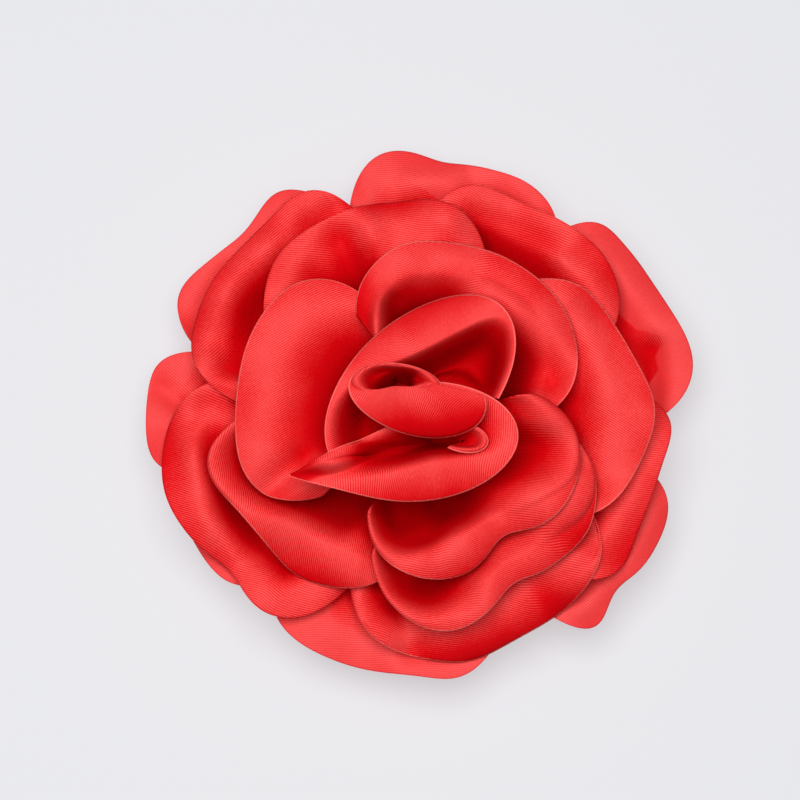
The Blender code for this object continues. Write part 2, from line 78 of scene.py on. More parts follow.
# Pile of petals, mm
PILE_HALF = 70.0
PILE_CELL = 0.4
NOTHING = -50.0                                # height of the pile where nothing lies
FACE_SAMPLES = 5                               # height samples along each side of a petal's face
LIFT_SPREAD = 4                                # rings of points that share a lift
LIFT_SMOOTHING = 14
GLUE_PROFILE = ((5.6, 0.0), (5.2, 3.0), (4.2, 8.0), (2.6, 11.2), (0.0, 12.2))

# Rounding of a petal towards its sides, and how steeply turned-back cloth falls
SHOULDER = 5
SIDE_DROP = 0.3
THIN_ROLL = 0.4
LEAST_ROLL = 0.3
MOST_ROLL = 0.8                                # share of the reach that may be rolled
FOLD_SOFTNESS = 0.22                           # share of the edge over which a straight fold fades out
MOST_BARE = 0.7                                # share of the way to the crest that may be left bare
SIDEWAYS = 0.05                                # least cosine at which a ray can meet a straight fold
TURN_CURVE = 0.055                             # fall in mm per square mm beyond a straight fold

# Rings, mm: base = height of the foot, start = bare distance round it, height = crest of the edge,
# hollow = (share of the climb done by the floor, where the wall begins, steepness near the crest),
# roll = (width, fall), ruffle = height of the edge's waves, and the last key = mm below the crest
# at which the painted shade of the hollows is darkest.
RINGS = {
    "outer": {"base": 0.5, "start": 15.0, "height": 6.5, "hollow": (0.08, 0.50, 1.3),
              "roll": (5.0, 0.4), "ruffle": 0.9, "shade_depth": 6.0},
    "middle": {"base": 1.0, "start": 11.0, "height": 13.0, "hollow": (0.04, 0.38, 1.6),
               "roll": (7.0, 0.9), "ruffle": 1.3, "shade_depth": 7.5},
    "inner": {"base": 2.0, "start": 5.5, "height": 20.0, "hollow": (0.03, 0.36, 1.9),
              "roll": (6.0, 0.8), "ruffle": 1.2, "shade_depth": 11.0},
}

# Ring petals, lowest first. aim = direction in degrees, spread = half the angle it covers, reach =
# share of the flower's radius, lean = more reach clockwise, raise and tilt in mm, bumps = (side
# from -1 to 1 clockwise, width, outward mm, upward mm), turned = straight fold (direction, mm from
# the axis) beyond which the cloth turns down, hollow = its own in place of the ring's, folds = soft
# ridges and furrows (from side, share of the reach, to side, share, width mm, height mm), grain =
# direction of the ribs in degrees.
RING_PETALS = {
    "petal_outer_lower_left": {"ring": "outer", "aim": -153, "spread": 24, "reach": 0.94, "grain": 20},
    "petal_outer_left": {"ring": "outer", "aim": 179, "spread": 18, "reach": 1.0, "grain": -40,
                         "folds": ((-0.3, 0.7, 0.3, 0.95, 2.5, -1.6),)},
    "petal_outer_bottom": {"ring": "outer", "aim": -100, "spread": 37, "reach": 0.94, "grain": 0,
                           "bumps": ((-0.5, 0.2, 1.5, 0.0),), "folds": ((-0.7, 0.9, -0.2, 0.92, 2.5, -1.6),)},
    "petal_outer_lower_right": {"ring": "outer", "aim": -35, "spread": 26, "reach": 0.98, "grain": 40,
                                "bumps": ((0.25, 0.2, -1.5, 0.0), (0.62, 0.2, 2.0, 0.0)),
                                "folds": ((-0.5, 0.93, 0.6, 0.93, 2.5, 1.2),)},
    "petal_outer_upper_left": {"ring": "outer", "aim": 137, "spread": 31, "reach": 0.96, "grain": 25,
                               "bumps": ((0.5, 0.2, 2.0, 0.5), (0.1, 0.2, -1.0, 0.0), (-0.5, 0.25, 2.5, 0.0)),
                               "folds": ((-0.7, 0.92, -0.2, 0.92, 3.0, -2.0),)},
    "petal_outer_upper_right": {"ring": "outer", "aim": 26, "spread": 31, "reach": 0.99, "grain": -50,
                                "bumps": ((0.45, 0.3, 2.0, 0.0), (-0.75, 0.2, 2.0, 0.0)),
                                "folds": ((0.3, 0.9, 0.9, 0.85, 2.5, -2.5),
                                          (-0.6, 0.9, 0.2, 0.93, 3.0, 1.2))},
    "petal_outer_top": {"ring": "outer", "aim": 80, "spread": 32, "reach": 0.96, "grain": 10,
                        "bumps": ((-0.55, 0.3, 2.5, 0.0), (-0.15, 0.15, -0.8, 0.0)),
                        "folds": ((0.1, 0.92, 0.6, 0.86, 3.0, -2.5), (-0.4, 0.9, 0.1, 0.93, 3.0, 1.5))},
    "petal_middle_lower_left": {"ring": "middle", "aim": -152, "spread": 40, "reach": 0.94, "grain": -20,
                                "tilt": 0.8, "raise": -1.5,
                                "bumps": ((0.25, 0.25, 1.5, 0.3), (-0.3, 0.2, -2.5, 0.0)),
                                "folds": ((0.5, 0.8, -0.5, 0.78, 4.0, -5.0),
                                          (0.8, 0.9, -0.2, 0.9, 3.0, 1.6))},
    "petal_middle_right": {"ring": "middle", "aim": -21, "spread": 33, "reach": 0.89, "grain": -5,
                           "raise": -1.0, "bumps": ((-0.6, 0.25, 2.0, 0.0), (0.55, 0.25, 2.0, 0.0)),
                           "folds": ((-0.1, 0.93, 0.5, 0.9, 3.0, 1.0), (0.3, 0.8, 0.9, 0.85, 2.5, -1.5))},
    "petal_middle_bottom": {"ring": "middle", "aim": -70, "spread": 44, "reach": 0.88, "grain": -12,
                            "raise": -1.5, "turned": (-68, 40.0), "bumps": ((0.2, 0.2, 1.5, 0.0),),
                            "folds": ((0.6, 0.8, 0.5, 0.95, 3.0, -2.0),)},
    "petal_middle_upper_right": {"ring": "middle", "aim": 54, "spread": 37, "reach": 0.86, "grain": -15,
                                 "raise": 1.0, "bumps": ((-0.7, 0.3, 1.5, 0.0), (0.3, 0.3, 1.5, 0.0)),
                                 "folds": ((-0.5, 0.77, 0.1, 0.78, 5.5, -11.0),
                                           (0.2, 0.9, 0.7, 0.9, 3.0, 1.4))},
    "petal_middle_far_left": {"ring": "middle", "aim": 140, "spread": 38, "reach": 0.89, "grain": 30,
                              "raise": 1.0, "bumps": ((0.6, 0.25, 2.5, 0.3),),
                              "folds": ((-0.7, 0.78, 0.5, 0.80, 4.0, -5.0), (-0.8, 0.92, 0.2, 0.92, 3.5, 1.8),
                                        (0.5, 0.9, 0.8, 0.9, 3.0, -2.0))},
    "petal_middle_upper_left": {"ring": "middle", "aim": 110, "spread": 46, "reach": 0.78, "grain": -4,
                                "raise": 2.8, "bumps": ((-0.75, 0.2, -1.5, 0.0),),
                                "folds": ((-0.1, 0.55, -0.1, 0.88, 4.5, -6.0),
                                          (0.15, 0.88, 0.6, 0.9, 4.0, 1.8),
                                          (-0.8, 0.75, -0.4, 0.8, 3.0, -2.5))},
    "petal_inner_lower_left": {"ring": "inner", "aim": -138, "spread": 43, "reach": 0.73, "lean": 0.06,
                               "grain": 80, "raise": -2.5, "tilt": 3.0, "turned": (-113, 31.5),
                               "bumps": ((0.65, 0.25, 3.0, 0.0), (-0.25, 0.2, 1.0, 0.0)),
                               "folds": ((-0.95, 0.72, -0.95, 1.0, 5.0, -5.0),
                                         (-0.6, 0.8, -0.62, 1.0, 2.0, 1.0))},
    "petal_inner_right": {"ring": "inner", "aim": 10, "spread": 50, "reach": 0.78, "lean": 0.06,
                          "hollow": (0.15, 0.1, 1.2), "grain": -35, "raise": -1.0,
                          "bumps": ((0.2, 0.25, 3.0, 0.0), (-0.8, 0.2, -3.0, 0.0)),
                          "folds": ((0.5, 0.6, 0.7, 0.85, 5.0, -4.0), (-0.5, 0.83, 0.1, 0.85, 3.5, 1.5))},
    "petal_inner_left": {"ring": "inner", "aim": 170, "spread": 52, "reach": 0.66,
                         "hollow": (0.1, 0.0, 1.0), "grain": 35, "raise": 2.5, "tilt": 0.8,
                         "bumps": ((-0.65, 0.3, 1.5, -1.0),),
                         "folds": ((-0.65, 0.7, -0.75, 0.95, 3.0, -3.0),)},
    "petal_inner_under_right": {"ring": "inner", "aim": -57, "spread": 51, "reach": 0.74, "lean": 0.07,
                                "grain": -8, "raise": -0.5, "turned": (-54, 35.5),
                                "bumps": ((0.1, 0.15, -2.0, 0.0), (0.5, 0.25, 2.5, 0.0),
                                          (-0.4, 0.2, 1.5, 0.5)),
                                "folds": ((0.75, 0.85, 0.4, 0.92, 3.5, -2.5),)},
    "petal_inner_top": {"ring": "inner", "aim": 60, "spread": 65, "reach": 0.61, "grain": 15,
                        "raise": 3.3, "bumps": ((-0.85, 0.3, -2.0, 0.0), (0.3, 0.3, 1.0, 0.0)),
                        "folds": ((-0.6, 0.55, 0.1, 0.66, 4.5, -5.0), (0.45, 0.62, 0.75, 0.78, 4.5, -5.0),
                                  (-0.3, 0.9, 0.6, 0.9, 3.0, 1.0))},
    "petal_inner_lower_right": {"ring": "inner", "aim": -56, "spread": 60, "reach": 0.61, "grain": -8,
                                "raise": 4.0, "turned": (-65, 26.5),
                                "bumps": ((0.02, 0.18, -3.5, 0.0), (-0.35, 0.3, 1.0, 0.5),
                                          (0.5, 0.3, 1.0, 0.0)),
                                "folds": ((0.75, 0.7, 0.5, 0.75, 4.0, -3.0),)},
}

# Bud pieces, mm: an ellipse (middle, half sizes, turn) swept between two of its own angles round a
# foot that need not be its middle. tip = (angle, width, outward), turned as above but from the foot,
# cut = straight edge (direction, mm from the foot) in the sweep's second half, coil = share of its
# size lost by the sweep's end; the depth of the painted shade is given as in RINGS.
BUD_HOLLOW = (0.05, 0.3, 2.0)
BUD_FALL = 0.1
NO_TIP = (0.0, 20.0, 0.0)
COIL_POWER = 4
BUD_PETALS = {
    "petal_bud_core": {"foot": (3.0, -4.0, 15.0), "middle": (2.5, -3.5), "half": (10.0, 8.0), "turn": 20,
                       "sweep": (64, -284), "height": 22.0, "shade_depth": 11.0, "grain": 15},
    "petal_bud_fold": {"foot": (4.0, 2.5, 17.0), "middle": (0.0, 2.4), "half": (22.5, 13.5), "turn": 45,
                       "sweep": (172, -66), "height": 33.0, "tilt": -1.0, "turned": (116, 8.2), "shade_depth": 9.0,
                       "grain": 30},
    "petal_bud_front": {"foot": (2.0, -6.5, 17.5), "middle": (-1.0, -8.0), "half": (20.0, 11.5), "turn": 4,
                        "sweep": (85, -215), "height": 31.0, "tilt": -1.5, "turned": (-80, 6.0),
                        "tip": (-160, 26, 8.0), "cut": (116, 5.0), "hollow": (0.45, 0.0, 1.0), "shade_depth": 7.0,
                        "grain": 85},
    "petal_bud_curl": {"foot": (8.2, -7.6, 24.0), "middle": (8.2, -7.4), "half": (5.0, 2.9), "turn": -12,
                       "sweep": (150, -120), "height": 32.0, "shade_depth": 8.0, "grain": 60},
    "petal_bud_roll": {"foot": (-5.0, 4.4, 22.0), "middle": (-1.0, 0.4), "half": (14.0, 7.4), "turn": -12,
                       "sweep": (20, -310), "height": 36.0, "tilt": -0.4, "turned": (-86, 2.6),
                       "coil": 0.5, "shade_depth": 6.5, "grain": 60},
}


# ---------------------------------------------------------------- petal shapes

def softened(values, share):
    """Running mean over a share of the edge, so that one shape passes gently into the next."""
    half = int(len(values) * share / 2)
    window = np.hanning(2 * half + 3)[1:-1]
    padded = np.pad(values, half, mode="edge")
    return np.convolve(padded, window / window.sum(), mode="valid")


def turned_roll(petal, turn, reach, thin):
    """Width of cloth beyond the petal's straight fold, if it has one, and no less than thin."""
    if "turned" not in petal:
        return np.full_like(reach, thin)
    facing, away = petal["turned"]
    across = np.cos(turn - math.radians(facing))
    beyond = np.where(across > SIDEWAYS, reach - away / np.maximum(across, SIDEWAYS), 0.0)
    return softened(np.maximum(beyond, thin), FOLD_SOFTNESS)


def ring_rim(petal):
    """Stations along a ring petal's edge: x, y, crest height, roll width, roll fall."""
    ring = RINGS[petal["ring"]]
    side = np.linspace(-1.0, 1.0, RIM_STEPS)
    reach = petal["reach"] * FLOWER_RADIUS * (1.0 - SIDE_DROP * np.abs(side) ** SHOULDER)
    reach *= 1.0 + petal.get("lean", 0.0) * side
    height = ring["height"] + petal.get("raise", 0.0) + petal.get("tilt", 0.0) * side
    for at, width, outward, upward in petal.get("bumps", ()):
        bump = np.exp(-((side - at) / width) ** 2)
        reach += outward * bump
        height += upward * bump
    turn = np.radians(petal["aim"] - petal["spread"] * side)
    width, fall = ring["roll"]
    if "turned" in petal:
        width = THIN_ROLL
    roll = turned_roll(petal, turn, reach, width)
    falls = np.full_like(side, fall)
    return np.column_stack((reach * np.cos(turn), reach * np.sin(turn), height, roll, falls))


def bud_rim(petal):
    """Stations along a bud piece's edge: x, y, crest height, roll width, roll fall."""
    angle = np.radians(np.linspace(*petal["sweep"], RIM_STEPS))
    at, width, outward = petal.get("tip", NO_TIP)
    grown = outward * np.exp(-((angle - math.radians(at)) / math.radians(width)) ** 2)
    size = 1.0 - petal.get("coil", 0.0) * np.linspace(0.0, 1.0, RIM_STEPS) ** COIL_POWER
    along = (petal["half"][0] + grown) * size * np.cos(angle)
    across = petal["half"][1] * size * np.sin(angle)
    lie = math.radians(petal["turn"])
    x = petal["middle"][0] + along * math.cos(lie) - across * math.sin(lie)
    y = petal["middle"][1] + along * math.sin(lie) + across * math.cos(lie)
    away = np.column_stack((x - petal["foot"][0], y - petal["foot"][1]))
    reach = np.linalg.norm(away, axis=1)
    turn = np.arctan2(away[:, 1], away[:, 0])
    if "cut" in petal:
        facing, distance = petal["cut"]
        across = np.cos(turn - math.radians(facing))
        straight = distance / np.maximum(across, SIDEWAYS)
        towards_end = np.arange(RIM_STEPS) > RIM_STEPS / 2
        reach = np.where(towards_end & (across > SIDEWAYS), np.minimum(reach, straight), reach)
        x = petal["foot"][0] + reach * np.cos(turn)
        y = petal["foot"][1] + reach * np.sin(turn)
    roll = turned_roll(petal, turn, reach, THIN_ROLL)
    height = petal["height"] + petal.get("tilt", 0.0) * np.linspace(-1.0, 1.0, RIM_STEPS)
    return np.column_stack((x, y, height, roll, np.full_like(x, BUD_FALL)))


def evenly(stations, pitch):
    """The same edge at even steps along its length."""
    step = np.linalg.norm(np.diff(stations[:, :3], axis=0), axis=1)
    run = np.concatenate(([0.0], np.cumsum(step)))
    wanted = np.linspace(0.0, run[-1], max(FEWEST_COLUMNS, round(run[-1] / pitch) + 1))
    return np.stack([np.interp(wanted, run, column) for column in stations.T], axis=1)


def climb(t, hollow):
    """Height share along a ray from foot (0) to crest (1): a low floor, then a rounded wall."""
    floor, wall_start, steepness = hollow
    t = np.clip(t, 0.0, 1.0)
    wall = np.clip((t - wall_start) / (1.0 - wall_start), 0.0, 1.0) ** steepness
    return floor * (2 * t - t * t) + (1.0 - floor) * wall * wall * (3 - 2 * wall)


def drop_beyond_fold(petal, grid, foot):
    """Bend the cloth down where it lies beyond the petal's straight fold."""
    if "turned" in petal:
        facing, away = petal["turned"]
        facing = math.radians(facing)
        x = grid[..., 0] - foot[0]
        y = grid[..., 1] - foot[1]
        beyond = x * math.cos(facing) + y * math.sin(facing) - away
        grid[..., 2] -= TURN_CURVE * np.clip(beyond, 0.0, None) ** 2
    return grid


def petal_grid(rim, foot, bare, hollow):
    """Rows of points from the foot over the crest to the rim, one column per ray."""
    ray = rim[:, :2] - foot[:2]
    reach = np.linalg.norm(ray, axis=1)
    ray = ray / reach[:, None]
    crest_height = rim[:, 2]
    roll = np.clip(rim[:, 3], LEAST_ROLL, reach * MOST_ROLL)
    crest = reach - roll
    start = np.minimum(bare, crest * MOST_BARE)
    rows = []
    for share in np.linspace(0.0, 1.0, INNER_ROWS):
        along = start + (crest - start) * share
        height = foot[2] + (crest_height - foot[2]) * climb(along / crest, hollow)
        rows.append(np.column_stack((foot[:2] + ray * along[:, None], height)))
    for share in np.linspace(0.0, 1.0, ROLL_ROWS + 1)[1:]:
        along = crest + roll * share
        height = crest_height - rim[:, 4] * share**2
        rows.append(np.column_stack((foot[:2] + ray * along[:, None], height)))
    return np.array(rows)


def add_folds(grid, petal):
    """Soft ridges (height > 0) and furrows (height < 0) from one (side, share) to another."""
    for side0, share0, side1, share1, width, height in petal.get("folds", ()):
        step = np.linspace(0.0, 1.0, FOLD_STEPS)
        turn = np.radians(petal["aim"] - petal["spread"] * (side0 + (side1 - side0) * step))
        out = petal["reach"] * FLOWER_RADIUS * (share0 + (share1 - share0) * step)
        away = np.full(grid.shape[:2], FAR)
        for x, y in zip(out * np.cos(turn), out * np.sin(turn)):
            away = np.minimum(away, np.hypot(grid[..., 0] - x, grid[..., 1] - y))
        grid[..., 2] += height * np.exp(-(away / width) ** 2)
    return grid


def add_ruffle(grid, depth, seed):
    """Loose edge: waves that run round the rim, fade towards the foot and never quite repeat."""
    rng = np.random.default_rng(seed)
    step = np.linalg.norm(np.diff(grid[-1], axis=0), axis=1)
    run = np.concatenate(([0.0], np.cumsum(step)))
    along = 2 * math.pi * run / RUFFLE_LENGTH
    times, share = SECOND_RUFFLE
    wave = np.sin(along + rng.uniform(0.0, 2 * math.pi))
    wave += share * np.sin(times * along + rng.uniform(0.0, 2 * math.pi))
    towards_rim = np.linspace(0.0, 1.0, grid.shape[0])[:, None] ** RUFFLE_POWER
    grid[..., 2] += depth * wave * towards_rim
    return grid


def add_waves(grid, seed):
    """Slow uneven waves over the whole petal, strongest at the rim."""
    rng = np.random.default_rng(seed)
    towards_rim = np.linspace(0.0, 1.0, grid.shape[0])[:, None] ** 2
    x, y = grid[..., 0], grid[..., 1]
    for wavelength, height in WAVES:
        turn = rng.uniform(0.0, 2 * math.pi)
        phase = rng.uniform(0.0, 2 * math.pi)
        wave = np.sin(2 * math.pi * (x * math.cos(turn) + y * math.sin(turn)) / wavelength + phase)
        grid[..., 2] += height * wave * (CALM + (1.0 - CALM) * towards_rim)
    return grid


def spread_max(field, passes):
    """Each value becomes the largest among its neighbours, several times over."""
    for _ in range(passes):
        padded = np.pad(field, 1, mode="edge")
        field = np.max([padded[i:i + field.shape[0], j:j + field.shape[1]]
                        for i in range(3) for j in range(3)], axis=0)
    return field


def blurred(field, passes):
    """Soft blur along both directions, several times over."""
    for _ in range(passes):
        padded = np.pad(field, 1, mode="edge")
        field = (padded[:-2, 1:-1] + 2 * field + padded[2:, 1:-1]) / 4
        padded = np.pad(field, 1, mode="edge")
        field = (padded[1:-1, :-2] + 2 * field + padded[1:-1, 2:]) / 4
    return field


class Pile:
    """Height map of the petals laid so far."""

    def __init__(self):
        side = int(2 * PILE_HALF / PILE_CELL) + 1
        axis = np.linspace(-PILE_HALF, PILE_HALF, side)
        across, up = np.meshgrid(axis, axis, indexing="ij")
        radius = np.hypot(across, up)
        self.height = np.full((side, side), NOTHING)
        self.height[radius < BASE_RADIUS + SPACING] = -CLOTH / 2
        glue_radius = [r for r, _ in reversed(GLUE_PROFILE)]
        glue_height = [h for _, h in reversed(GLUE_PROFILE)]
        on_glue = radius < GLUE_PROFILE[0][0]
        self.height[on_glue] = np.interp(radius[on_glue], glue_radius, glue_height)

    def cells(self, points):
        index = np.rint((points[..., :2] + PILE_HALF) / PILE_CELL).astype(int)
        return index[..., 0], index[..., 1]

    def spaced(self):
        """The least height at which another petal's middle clears everything below it."""
        reach = int(math.ceil(SPACING / PILE_CELL))
        result = np.full_like(self.height, NOTHING)
        for i in range(-reach, reach + 1):
            for j in range(-reach, reach + 1):
                away = math.hypot(i, j) * PILE_CELL
                if away > SPACING + PILE_CELL:
                    continue
                rise = math.sqrt(max(SPACING**2 - away**2, 0.0))
                result = np.maximum(result, np.roll(self.height, (i, j), axis=(0, 1)) + rise)
        return result

    def lay(self, grid):
        """Lift the petal smoothly until it clears the pile, then add it to the pile."""
        short = np.clip(self.spaced()[self.cells(grid)] - grid[..., 2], 0.0, None)
        grid[..., 2] += blurred(spread_max(short, LIFT_SPREAD), LIFT_SMOOTHING)
        steps = np.linspace(0.0, 1.0, FACE_SAMPLES)
        for u in steps:
            for v in steps:
                face = ((1 - u) * (1 - v) * grid[:-1, :-1] + u * (1 - v) * grid[1:, :-1]
                        + (1 - u) * v * grid[:-1, 1:] + u * v * grid[1:, 1:])
                np.maximum.at(self.height, self.cells(face), face[..., 2])
        return grid


def cloth_uv(grid, foot):
    """Places on the flat cloth in mm: true length along each ray, laid out at the ray's own angle."""
    step = np.linalg.norm(np.diff(grid, axis=0), axis=2)
    first = np.linalg.norm(grid[0, :, :2] - np.array(foot[:2]), axis=1)
    length = np.vstack((first, first + np.cumsum(step, axis=0)))
    turn = np.arctan2(grid[-1, :, 1] - foot[1], grid[-1, :, 0] - foot[0])
    return np.stack((length * np.cos(turn), length * np.sin(turn)), axis=-1)


def add_point_value(mesh, name, values):
    layer = mesh.attributes.new(name, "FLOAT", "POINT")
    layer.data.foreach_set("value", values.astype(np.float32).ravel())


def petal_object(name, grid, foot, finish):
    """A sheet of cloth that knows how far each point is from the rim and how deep it lies."""
    rows, columns = grid.shape[:2]
    points = (grid.reshape(-1, 3) + (0.0, 0.0, PETAL_Z)) * MM
    i, j = np.meshgrid(np.arange(rows - 1), np.arange(columns - 1), indexing="ij")
    a = (i * columns + j).ravel()
    faces = np.column_stack((a, a + 1, a + columns + 1, a + columns))
    mesh = bpy.data.meshes.new(name)
    mesh.from_pydata(points.tolist(), [], faces.tolist())
    uv = cloth_uv(grid, foot).reshape(-1, 2)
    layer = mesh.uv_layers.new(name="cloth")
    layer.data.foreach_set("uv", uv[faces.ravel()].astype(np.float32).ravel())
    to_rim = np.zeros((rows, columns))
    step = np.linalg.norm(np.diff(grid, axis=0), axis=2)
    to_rim[:-1] = np.cumsum(step[::-1], axis=0)[::-1]
    add_point_value(mesh, "to_rim", to_rim)
    add_point_value(mesh, "depth", np.max(grid[..., 2], axis=0) - grid[..., 2])
    mesh.materials.append(finish)
    mesh.shade_smooth()
    thing = bpy.data.objects.new(name, mesh)
    bpy.context.scene.collection.objects.link(thing)
    shell = thing.modifiers.new("thickness", "SOLIDIFY")
    shell.thickness = CLOTH * MM
    shell.offset = 0.0
    return thing


def lay_petal(pile, node, petal, grid, foot, seed):
    """Finish one petal's shape, lay it on the pile and make it ride in place of its CAD node."""
    grid = pile.lay(add_waves(drop_beyond_fold(petal, grid, foot), seed))
    name = node.replace("petal_", "satin_")
    plain_edge = petal.get("ring") in ("outer", "middle") and "turned" not in petal
    # painted light: the outer ring's single layer is painted lighter near its rim, as if lit through from
    # behind
    lit_through = petal.get("ring") == "outer"
    # depth below the crest at which this petal's painted shade is darkest
    shade_depth = RINGS[petal["ring"]]["shade_depth"] if "ring" in petal else petal["shade_depth"]
    finish = satin(name, math.radians(petal["grain"]), seed, shade_depth, plain_edge, lit_through)
    thing = petal_object(name, grid, foot, finish)
    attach(thing, "flower")
    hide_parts(node)


def make_petals():
    pile = Pile()
    for number, (node, petal) in enumerate(RING_PETALS.items()):
        ring = RINGS[petal["ring"]]
        foot = np.array((0.0, 0.0, ring["base"]))
        rim = evenly(ring_rim(petal), COLUMN_PITCH)
        grid = petal_grid(rim, foot, ring["start"], petal.get("hollow", ring["hollow"]))
        grid = add_ruffle(add_folds(grid, petal), ring["ruffle"], number)
        lay_petal(pile, node, petal, grid, foot, RING_SEED + number)
    for number, (node, petal) in enumerate(BUD_PETALS.items()):
        foot = np.array(petal["foot"])
        rim = evenly(bud_rim(petal), COLUMN_PITCH / 2)
        grid = petal_grid(rim, foot, THIN_ROLL, petal.get("hollow", BUD_HOLLOW))
        lay_petal(pile, node, petal, grid, foot, BUD_SEED + number)


# ---------------------------------------------------------------- materials

NOISE_RANGE = (0.3, 0.7)                       # where nearly all values of a noise texture lie
WAVE_PERIOD = math.pi / 10                     # period of a wave texture whose scale is 1


class Nodes:
    """Short way of adding and joining shader nodes in one material."""

    def __init__(self, name):
        self.material = bpy.data.materials.new(name)
        self.material.use_nodes = True
        self.tree = self.material.node_tree
        self.shader = self.tree.nodes["Principled BSDF"]

    def add(self, kind, inputs=None, **settings):
        node = self.tree.nodes.new(kind)
        for key, value in settings.items():
            setattr(node, key, value)
        for key, value in (inputs or {}).items():
            self.put(node.inputs[key], value)
        return node

    def put(self, socket, value):
        """Join a socket to another one, or give it a plain value."""
        if isinstance(value, bpy.types.NodeSocket):
            self.tree.links.new(value, socket)
        else:
            socket.default_value = value

    def math(self, operation, a, b=0.0, clamp=False):
        node = self.add("ShaderNodeMath", operation=operation, use_clamp=clamp)
        self.put(node.inputs[0], a)
        self.put(node.inputs[1], b)
        return node.outputs[0]

    def vary(self, noise, low, high):
        """A noise value spread between two others."""
        return self.ramp(noise, *NOISE_RANGE, low, high)

    def ramp(self, value, low, high, to_low=0.0, to_high=1.0):
        """A value between low and high, spread between to_low and to_high."""
        node = self.add("ShaderNodeMapRange", {"Value": value, "From Min": low, "From Max": high,
                                               "To Min": to_low, "To Max": to_high})
        return node.outputs["Result"]

    def mix(self, factor, a, b):
        """A colour between a and b; inputs 6 and 7 and output 2 are the node's colour sockets."""
        node = self.add("ShaderNodeMix", data_type="RGBA")
        self.put(node.inputs["Factor"], factor)
        self.put(node.inputs[6], a)
        self.put(node.inputs[7], b)
        return node.outputs[2]

    def bump(self, height, distance_mm, strength, after=None):
        node = self.add("ShaderNodeBump", {"Height": height, "Distance": distance_mm * MM,
                                           "Strength": strength})
        if after is not None:
            self.put(node.inputs["Normal"], after)
        return node.outputs["Normal"]


# Satin colours: deep red for the painted shade in hollows, the cloth's own full red, and pale red
# for the painted highlight on crests; the tone (0 most shaded, 1 palest) chooses between these three
SATIN_PAINTED_SHADE = (0.47, 0.0003, 0.0022, 1.0)
SATIN_FULL = (0.79, 0.002, 0.006, 1.0)
SATIN_PAINTED_HIGHLIGHT = (0.98, 0.090, 0.086, 1.0)
SATIN_LIT_THROUGH = (0.92, 0.085, 0.085, 1.0)        # painted light: one layer lit through by the light table behind it
SINGED = (1.0, 0.17, 0.15, 1.0)
# tone on the crests, where the painted highlight is strongest
CREST_TONE = 0.86
FULL_TONE = 0.66
RIB_TONE = 0.15
CLOUD_TONE = 0.06
SLUB_TONE = 0.04

# Satin weave and shine
RIB_PITCH = 0.45                               # mm
THREAD_PITCH = 0.28
WEAVE_HEIGHT = 0.06
WEAVE_STRENGTH = 0.7
RIB_SHARE = 0.7
RIB_WANDER = 0.6                               # how far the lines of a weave wander
THREAD_WANDER = 0.4
CLOUD_SCALE = 0.09                             # noise waves per mm: slow clouds, slubs, nibbled edge
SLUB_SCALE = 1.3
NIBBLE_SCALE = 2.2
SEED_SHIFT = (37.0, 11.0, 0.0)                 # mm between the patterns of two petals
CREST_SHINE = 0.13
HOLLOW_SHINE = 0.015
SHINE_DEPTH = 0.6                              # share of the darkening depth over which the shine goes
SHINE_TINT = (1.0, 0.8, 0.8, 1.0)
FURROW_ROUGHNESS = 0.50
RIB_ROUGHNESS = 0.40
SLUB_ROUGHNESS = 0.04
THROUGH = 0.16                                 # share of the light that passes through the cloth
THROUGH_RED = (0.9, 0.02, 0.02, 1.0)

# Edges, mm
LIT_THROUGH_SHARE = 0.42                                    # how far a single layer's border goes towards the lighter red of painted light through it
LIT_THROUGH_ENDS = (7.4, 8.2)
LIT_THROUGH_WANDER = 3.0
SINGE_WIDTH = (0.18, 0.34)
SINGE = 0.8
EDGE_FACE = 0.02                               # nearer than this lies the cut face of the cloth


def bands(nodes, where, pitch, turn, wobble):
    """0 to 1 stripes of the given pitch in mm, with slightly wandering lines."""
    turned = nodes.add("ShaderNodeVectorRotate", {"Vector": where, "Angle": turn}, rotation_type="Z_AXIS")
    wave = nodes.add("ShaderNodeTexWave", {"Vector": turned.outputs[0], "Scale": WAVE_PERIOD / pitch,
                                           "Distortion": wobble, "Detail": 1.0, "Detail Scale": 0.6})
    wave.bands_direction = "Y"
    return wave.outputs["Fac"]


def noise(nodes, where, scale, detail=3.0):
    """0 to 1 noise with the given number of waves per unit of place."""
    return nodes.add("ShaderNodeTexNoise", {"Vector": where, "Scale": scale, "Detail": detail}).outputs["Fac"]


def satin_colour_and_shade(nodes, depth, shade_depth, ribs, cloud, slub):
    """Painted shade (deep red) in the hollows, the cloth's full red above them, a painted highlight (pale) on
    the crests.
    """
    # painted shade and highlight: the tone falls from the crest's highlight the deeper a point lies
    tone = nodes.ramp(depth, 0.0, shade_depth, CREST_TONE, 0.0)
    tone = nodes.math("ADD", tone, nodes.ramp(ribs, 0.0, 1.0, -RIB_TONE, RIB_TONE))
    tone = nodes.math("ADD", tone, nodes.vary(cloud, -CLOUD_TONE, CLOUD_TONE))
    tone = nodes.math("ADD", tone, nodes.vary(slub, -SLUB_TONE, SLUB_TONE), clamp=True)
    # painted shade: low tones darken the full red
    colour = nodes.mix(nodes.ramp(tone, 0.0, FULL_TONE), SATIN_PAINTED_SHADE, SATIN_FULL)
    # painted highlight: high tones turn the full red pale
    return nodes.mix(nodes.ramp(tone, FULL_TONE, 1.0), colour, SATIN_PAINTED_HIGHLIGHT)


